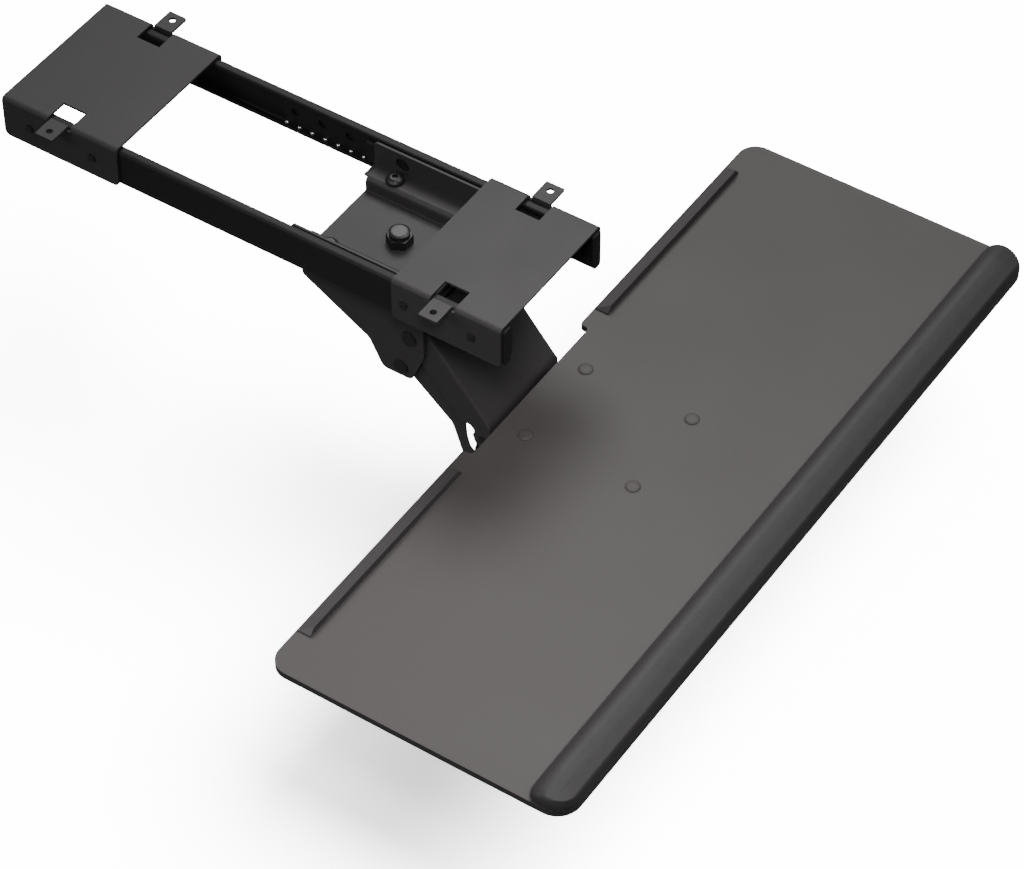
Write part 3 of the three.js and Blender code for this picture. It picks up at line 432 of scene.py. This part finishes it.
def soft_pad_cover():
    """Polyurethane cover, embossed with a fine leather grain and stretched over foam.

    Soft low sheen from the skin, and a cell grain about 0.9 mm, drawn at 1.6 mm so that it shows.
    """
    material, tree, shader, place = start_material("embossed_polyurethane")
    grain = cells(tree, place, size_mm=1.6)
    wrinkle = noise(tree, place, size_mm=14, detail=4.0)
    embossing = relief(tree, grain, strength=0.14, depth_mm=0.2, invert=True)
    lay_on(
        tree, shader,
        colour=shaded(tree, grain, finishes().pad, low=1.06, high=0.88),
        roughness=between(tree, wrinkle, low=0.5, high=0.62),
        normal=relief(tree, wrinkle, strength=0.08, depth_mm=1.0, over=embossing),
        values={"IOR": 1.48, "Specular IOR Level": 0.35, "Sheen Weight": 0.06, "Sheen Roughness": 0.4},
    )
    return material


MATERIALS = {
    "powder": powder_coated_steel,
    "slide": coated_slide_steel,
    "fastener": black_oxide_steel,
    "board": pressed_laminate,
    "board_edge": sealed_edge,
    "bolt_paint": matched_paint,
    "abs": moulded_abs,
    "nylon": moulded_nylon,
    "bearing": polished_bearing_steel,
    "pad": soft_pad_cover,
}
made_materials = {}


def material_of(key):
    if key not in made_materials:
        made_materials[key] = MATERIALS[key]()
    return made_materials[key]


# Shapes

SHARP_DEGREES = 32
FLAT_DEGREES = 0.5
BROKEN_EDGE_SEGMENTS = 2
RIM_NORMAL_RISE = 0.5


def dress(name, key, edge_round):
    """Gives a CAD node its finish, smooth curves and broken edges."""
    node = NODES[name]
    node.data.materials.clear()
    node.data.materials.append(material_of(key))
    for polygon in node.data.polygons:
        polygon.use_smooth = True
    node.data.set_sharp_from_angle(angle=math.radians(SHARP_DEGREES))
    if edge_round > 0:
        flat = node.modifiers.new("merge_flat_faces", "DECIMATE")
        flat.decimate_type = "DISSOLVE"
        flat.angle_limit = math.radians(FLAT_DEGREES)
        bevel = node.modifiers.new("broken_edges", "BEVEL")
        bevel.width = edge_round
        bevel.segments = BROKEN_EDGE_SEGMENTS
        bevel.limit_method = "ANGLE"
        bevel.angle_limit = math.radians(SHARP_DEGREES)
        bevel.harden_normals = True
        bevel.use_clamp_overlap = True
    return node


def new_object(name, mesh_builder):
    """A new object from bmesh code, in the scene."""
    mesh = bpy.data.meshes.new(name)
    shape = bmesh.new()
    mesh_builder(shape)
    bmesh.ops.recalc_face_normals(shape, faces=shape.faces)
    shape.to_mesh(mesh)
    shape.free()
    piece = bpy.data.objects.new(name, mesh)
    bpy.context.scene.collection.objects.link(piece)
    return piece


def new_piece(name, mesh_builder, key, body):
    """A new smooth piece, riding on a CAD body."""
    piece = new_object(name, mesh_builder)
    for polygon in piece.data.polygons:
        polygon.use_smooth = True
    piece.data.materials.append(material_of(key))
    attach(piece, body)
    return piece


def lerp(a, b, t):
    return a + (b - a) * t


def smooth(t):
    """Eases from 0 to 1, and stays there on both sides."""
    t = min(max(t, 0.0), 1.0)
    return t * t * (3 - 2 * t)


class TRAY_OT_desk_brackets(bpy.types.Operator):
    """Coat the two desk brackets and their rivets."""

    bl_idname = "tray.desk_brackets"
    bl_label = "Desk brackets"

    def execute(self, context):
        for end in ENDS:
            dress(f"bracket_{end}", "powder", sizes().sheet_round)
        for name in NODES:
            if name.startswith("slide_rivet"):
                dress(name, "fastener", sizes().fastener_round)
        return {"FINISHED"}


class TRAY_OT_slides(bpy.types.Operator):
    """Coat the outer and inner slides."""

    bl_idname = "tray.slides"
    bl_label = "Slides"

    def execute(self, context):
        for side, _ in SIDES:
            dress(f"outer_slide_{side}", "slide", sizes().sheet_round)
            dress(f"inner_slide_{side}", "slide", sizes().sheet_round)
        return {"FINISHED"}


class TRAY_OT_ball_cages(bpy.types.Operator):
    """Coat the ball cages and set polished balls over the plain ones."""

    bl_idname = "tray.ball_cages"
    bl_label = "Ball cages"

    def execute(self, context):
        group = sizes()
        steps = [group.ball_end_inset + i * group.ball_pitch for i in range(group.balls_per_end)]
        for side, sign in SIDES:
            name = f"ball_cage_{side}"
            dress(name, "slide", 0)
            low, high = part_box(name)
            x = sign * (max(abs(low[0]), abs(high[0])) - group.ball_seat)
            heights = (high[2] - group.ball_seat, low[2] + group.ball_seat)
            rows = [high[1] - step for step in steps] + [low[1] + step for step in steps]

            def balls(shape):
                for z in heights:
                    for y in rows:
                        ball = bmesh.ops.create_uvsphere(
                            shape, u_segments=20, v_segments=12, radius=group.ball / 2,
                        )
                        bmesh.ops.translate(shape, verts=ball["verts"], vec=(x, y, z))

            new_piece(f"slide_balls_{side}", balls, "bearing", f"cage_{side}")
        return {"FINISHED"}


class TRAY_OT_carriage(bpy.types.Operator):
    """Coat the carriage plate and angles, and finish the slip disc and the screws."""

    bl_idname = "tray.carriage"
    bl_label = "Carriage"

    def execute(self, context):
        dress("carriage_plate", "powder", sizes().sheet_round)
        dress("swivel_disc", "nylon", sizes().sheet_round)
        for side, _ in SIDES:
            dress(f"carriage_angle_{side}", "powder", sizes().sheet_round)
            for end in ENDS:
                dress(f"carriage_screw_{side}_{end}", "fastener", sizes().fastener_round)
        return {"FINISHED"}


class TRAY_OT_lift_bracket(bpy.types.Operator):
    """Coat the swivelling bracket and finish its bolt, nut and pins."""

    bl_idname = "tray.lift_bracket"
    bl_label = "Lift bracket"

    def execute(self, context):
        dress("lift_bracket", "powder", sizes().sheet_round)
        for name in ("swivel_bolt", "swivel_nut", "upper_pivot_pin", "lower_pivot_pin"):
            dress(name, "fastener", sizes().fastener_round)
        return {"FINISHED"}


class TRAY_OT_arm(bpy.types.Operator):
    """Coat the two links and the head bracket, and finish their pins."""

    bl_idname = "tray.arm"
    bl_label = "Arm"

    def execute(self, context):
        for name in ("arm_cover", "lower_link", "head_bracket"):
            dress(name, "powder", sizes().sheet_round)
        for name in ("head_upper_pin", "head_lower_pin", "tilt_pin"):
            dress(name, "fastener", sizes().fastener_round)
        return {"FINISHED"}


class TRAY_OT_board(bpy.types.Operator):
    """Finish the board, its rim, the plate under it and its bolts."""

    bl_idname = "tray.board"
    bl_label = "Board"

    def execute(self, context):
        board = dress("tray_board", "board", sizes().board_round)
        board.data.materials.append(material_of("board_edge"))
        for polygon in board.data.polygons:
            if abs(polygon.normal.z) < RIM_NORMAL_RISE:
                polygon.material_index = 1
        dress("mounting_plate", "powder", sizes().sheet_round)
        for side, _ in SIDES:
            for end in ENDS:
                dress(f"tray_bolt_{side}_{end}", "bolt_paint", 0)
                dress(f"tray_nut_{side}_{end}", "fastener", sizes().fastener_round)
        return {"FINISHED"}


class TRAY_OT_keyboard_stops(bpy.types.Operator):
    """Finish the two moulded stops along the board's rear edge."""

    bl_idname = "tray.keyboard_stops"
    bl_label = "Keyboard stops"

    def execute(self, context):
        for side, _ in SIDES:
            dress(f"keyboard_stop_{side}", "abs", sizes().stop_round)
        return {"FINISHED"}


class TRAY_OT_palm_rest(bpy.types.Operator):
    """Shape the padded palm rest, crowned across and falling towards the user and the ends."""

    bl_idname = "tray.palm_rest"
    bl_label = "Palm rest"

    arc_steps = 10
    run_steps = 60
    least_corner = 2 * MM
    front_corner_loss = 1 / 2
    rear_corner_loss = 1 / 3
    most_front_corner_share = 0.62
    most_rear_corner_share = 0.36
    tuck_degrees = -12
    fall_power = 1.15
    crown_shares = (0.25, 0.5, 0.75, 0.94)
    crown_end_pull = 4 * MM

    def arc(self, x, y, radius, start_degrees):
        """A quarter circle round a corner's centre."""
        angles = [math.radians(start_degrees + 90 * k / self.arc_steps) for k in range(self.arc_steps + 1)]
        return [Vector((x + radius * math.cos(angle), y + radius * math.sin(angle))) for angle in angles]

    def run(self, start, end):
        """Points between two corners, so that the long edges can fall towards the ends."""
        return [start.lerp(end, k / self.run_steps) for k in range(1, self.run_steps)]

    def outline(self, low, high, front, rear):
        """Corner arcs and long runs round the pad, anticlockwise from above."""
        front_right = self.arc(high[0] - front, low[1] + front, front, -90)
        rear_right = self.arc(high[0] - rear, high[1] - rear, rear, 0)
        rear_left = self.arc(low[0] + rear, high[1] - rear, rear, 90)
        front_left = self.arc(low[0] + front, low[1] + front, front, 180)
        rear_run = self.run(rear_right[-1], rear_left[0])
        front_run = self.run(front_left[-1], front_right[0])
        return front_right + rear_right + rear_run + rear_left + front_left + front_run

    def ring(self, low, high, share):
        """The outline drawn in by a share of the rolls at the front, rear and ends."""
        group = sizes()
        rolls = (group.pad_end_roll, group.pad_front_roll, group.pad_rear_roll)
        end, front, rear = (share * roll for roll in rolls)
        inner_low = (low[0] + end, low[1] + front)
        inner_high = (high[0] - end, high[1] - rear)
        depth = inner_high[1] - inner_low[1]
        front_corner = max(group.pad_front_corner - (end + front) * self.front_corner_loss, self.least_corner)
        rear_corner = max(group.pad_rear_corner - (end + rear) * self.rear_corner_loss, self.least_corner)
        return self.outline(
            inner_low, inner_high,
            min(front_corner, self.most_front_corner_share * depth),
            min(rear_corner, self.most_rear_corner_share * depth),
        )

    def side_rings(self, low, high, base, rise):
        """Points and heights from the tucked-in base up the rolled sides."""
        under, over = math.radians(self.tuck_degrees), math.radians(90)
        count = sizes().pad_rings
        rings = []
        for i in range(count + 1):
            angle = lerp(under, over, i / count)
            height = (math.sin(angle) - math.sin(under)) / (1 - math.sin(under))
            rings.append([(p, base + rise * height) for p in self.ring(low, high, 1 - math.cos(angle))])
        return rings

    def crown_rings(self, edge, height):
        """Points and heights from the top of the sides in to the middle."""
        depths = [p.y for p, _ in edge]
        middle = (min(depths) + max(depths)) / 2
        rings = []
        for share in self.crown_shares:
            pull = share * self.crown_end_pull
            crowned = height + sizes().pad_crown * smooth(share)
            rings.append([
                (Vector((p.x - math.copysign(pull, p.x), lerp(p.y, middle, share))), crowned) for p, _ in edge
            ])
        return rings

    def fall(self, point, low, high):
        """Share of the full height at a point, lower towards the front edge and the ends."""
        group = sizes()
        crest = high[1] - group.pad_rear_roll
        forward = max((crest - point.y) / (crest - low[1]), 0.0) ** self.fall_power
        outward = smooth((abs(point.x) - high[0]) / group.pad_end_slope + 1)
        return (1 - group.pad_front_drop * forward) * (1 - group.pad_end_drop * outward)

    def build(self, shape):
        low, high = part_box("palm_rest")
        base, rise = low[2], high[2] - low[2] - sizes().pad_crown
        rings = self.side_rings(low, high, base, rise)
        rings += self.crown_rings(rings[-1], base + rise)
        loops = [
            [shape.verts.new((p.x, p.y, base + (z - base) * self.fall(p, low, high))) for p, z in ring]
            for ring in rings
        ]
        for below, above in zip(loops, loops[1:]):
            for i in range(len(below)):
                j = (i + 1) % len(below)
                shape.faces.new((below[i], below[j], above[j], above[i]))
        shape.faces.new(loops[-1])
        shape.faces.new(list(reversed(loops[0])))

    def execute(self, context):
        pad = new_piece("palm_rest_cover", self.build, "pad", "tray")
        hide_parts("palm_rest")
        return {"FINISHED"}


# Stage


def set_light(name, data, place, aim):
    """Puts a light at a place and turns it to its aim. It lights, but isn't seen."""
    light = bpy.data.objects.new(name, data)
    light.location = place
    light.rotation_euler = (Vector(aim) - Vector(place)).to_track_quat("-Z", "Y").to_euler()
    light.visible_camera = False
    bpy.context.scene.collection.objects.link(light)
    return light


def soft_light(name, power, place, size, aim, spread_degrees=180):
    """A rectangular light, which shines narrowly where its spread is small."""
    data = bpy.data.lights.new(name, "AREA")
    data.shape = "RECTANGLE"
    data.size, data.size_y = size
    data.energy = power
    data.spread = math.radians(spread_degrees)
    return set_light(name, data, place, aim)


class TRAY_OT_stage(bpy.types.Operator):
    """Set the floor, the soft lights and the camera."""

    bl_idname = "tray.stage"
    bl_label = "Stage"

    def stage_piece(self, name, mesh_builder, colour, glow):
        """Floor or backdrop. The camera sees it, and it throws no light or reflection on the tray."""
        piece = new_object(name, mesh_builder)
        piece.visible_diffuse = False
        piece.visible_glossy = False
        piece.visible_transmission = False
        material = bpy.data.materials.new(f"studio_{name}")
        material.use_nodes = True
        piece.data.materials.append(material)
        shader = material.node_tree.nodes["Principled BSDF"]
        shader.inputs["Base Color"].default_value = (*colour, 1)
        shader.inputs["Roughness"].default_value = FLOOR_ROUGHNESS
        shader.inputs["Specular IOR Level"].default_value = 0.0
        shader.inputs["Emission Color"].default_value = WHITE
        shader.inputs["Emission Strength"].default_value = glow
        return piece

    def floor(self, settings, lowest):
        def grid(shape):
            bmesh.ops.create_grid(shape, x_segments=1, y_segments=1, size=FLOOR_REACH)
            bmesh.ops.translate(shape, verts=shape.verts, vec=(0, 0, lowest - settings.floor_drop))

        return self.stage_piece("floor", grid, settings.floor, settings.floor_glow)

    def backdrop(self, settings):
        """A plain white dome behind all, so that every view ends in the floor's own white."""
        def dome(shape):
            bmesh.ops.create_icosphere(shape, subdivisions=4, radius=BACKDROP_RADIUS)

        piece = self.stage_piece("backdrop", dome, BLACK, settings.floor_light / math.pi)
        piece.visible_shadow = False

    def camera(self):
        azimuth, elevation = (math.radians(a) for a in (CAMERA_AZIMUTH_DEGREES, CAMERA_ELEVATION_DEGREES))
        data = bpy.data.cameras.new("camera")
        data.sensor_width = SENSOR_WIDTH
        data.lens = FOCAL_PIXELS * SENSOR_WIDTH / IMAGE_WIDTH_PIXELS
        camera = bpy.data.objects.new("camera", data)
        camera.location = CAMERA_PLACE
        camera.rotation_euler = Euler((math.pi / 2 - elevation, 0, azimuth), "XYZ")
        bpy.context.scene.collection.objects.link(camera)
        bpy.context.scene.camera = camera

    def lights(self, settings, floor):
        """Key light from the right and rear, fill from the front, a pool over the board, even sky.

        A weak light behind the slides draws the bent edges. The floor has its own light, so that
        it can be near white while the dark finishes keep their depth.
        """
        for name, light in SOFT_LIGHTS.items():
            soft_light(name, getattr(settings, name), **light)
        sun = bpy.data.lights.new("floor_light", "SUN")
        sun.energy = settings.floor_light
        sun.angle = math.radians(FLOOR_LIGHT_ANGLE_DEGREES)
        floor_light = set_light("floor_light", sun, FRONT_LIGHT_PLACE, TRAY_MIDDLE)
        only_floor = bpy.data.collections.new("lit_by_the_floor_light")
        only_floor.objects.link(floor)
        floor_light.light_linking.receiver_collection = only_floor
        world = bpy.data.worlds.new("studio")
        bpy.context.scene.world = world
        world.use_nodes = True
        background = world.node_tree.nodes["Background"]
        background.inputs["Color"].default_value = WHITE
        background.inputs["Strength"].default_value = settings.sky

    def execute(self, context):
        settings = context.scene.tray_stage
        self.camera()
        floor = self.floor(settings, CAD_BOX[0][2])
        self.backdrop(settings)
        self.lights(settings, floor)
        return {"FINISHED"}


OPERATORS = (
    TRAY_OT_stage,
    TRAY_OT_desk_brackets,
    TRAY_OT_slides,
    TRAY_OT_ball_cages,
    TRAY_OT_carriage,
    TRAY_OT_lift_bracket,
    TRAY_OT_arm,
    TRAY_OT_board,
    TRAY_OT_keyboard_stops,
    TRAY_OT_palm_rest,
)


class TRAY_PT_panel(bpy.types.Panel):
    """Lists the tray's operators and settings."""

    bl_idname = "TRAY_PT_panel"
    bl_label = "Keyboard tray"
    bl_space_type = "VIEW_3D"
    bl_region_type = "UI"
    bl_category = "Keyboard tray"

    def draw(self, context):
        layout = self.layout
        for group in (context.scene.tray_finishes, context.scene.tray_sizes, context.scene.tray_stage):
            box = layout.box()
            for name in type(group).__annotations__:
                box.prop(group, name)
        for operator in OPERATORS:
            layout.operator(operator.bl_idname)


GROUPS = {"tray_finishes": TrayFinishes, "tray_sizes": TraySizes, "tray_stage": TrayStage}
CLASSES = (*GROUPS.values(), *OPERATORS, TRAY_PT_panel)


def register():
    for cls in CLASSES:
        bpy.utils.register_class(cls)
    for name, group in GROUPS.items():
        setattr(bpy.types.Scene, name, PointerProperty(type=group))


def unregister():
    for name in GROUPS:
        delattr(bpy.types.Scene, name)
    for cls in reversed(CLASSES):
        bpy.utils.unregister_class(cls)


def main():
    register()
    bpy.ops.tray.stage()
    bpy.ops.tray.desk_brackets()
    bpy.ops.tray.slides()
    bpy.ops.tray.ball_cages()
    bpy.ops.tray.carriage()
    bpy.ops.tray.lift_bracket()
    bpy.ops.tray.arm()
    bpy.ops.tray.board()
    bpy.ops.tray.keyboard_stops()
    bpy.ops.tray.palm_rest()


if __name__ == "__main__":
    main()
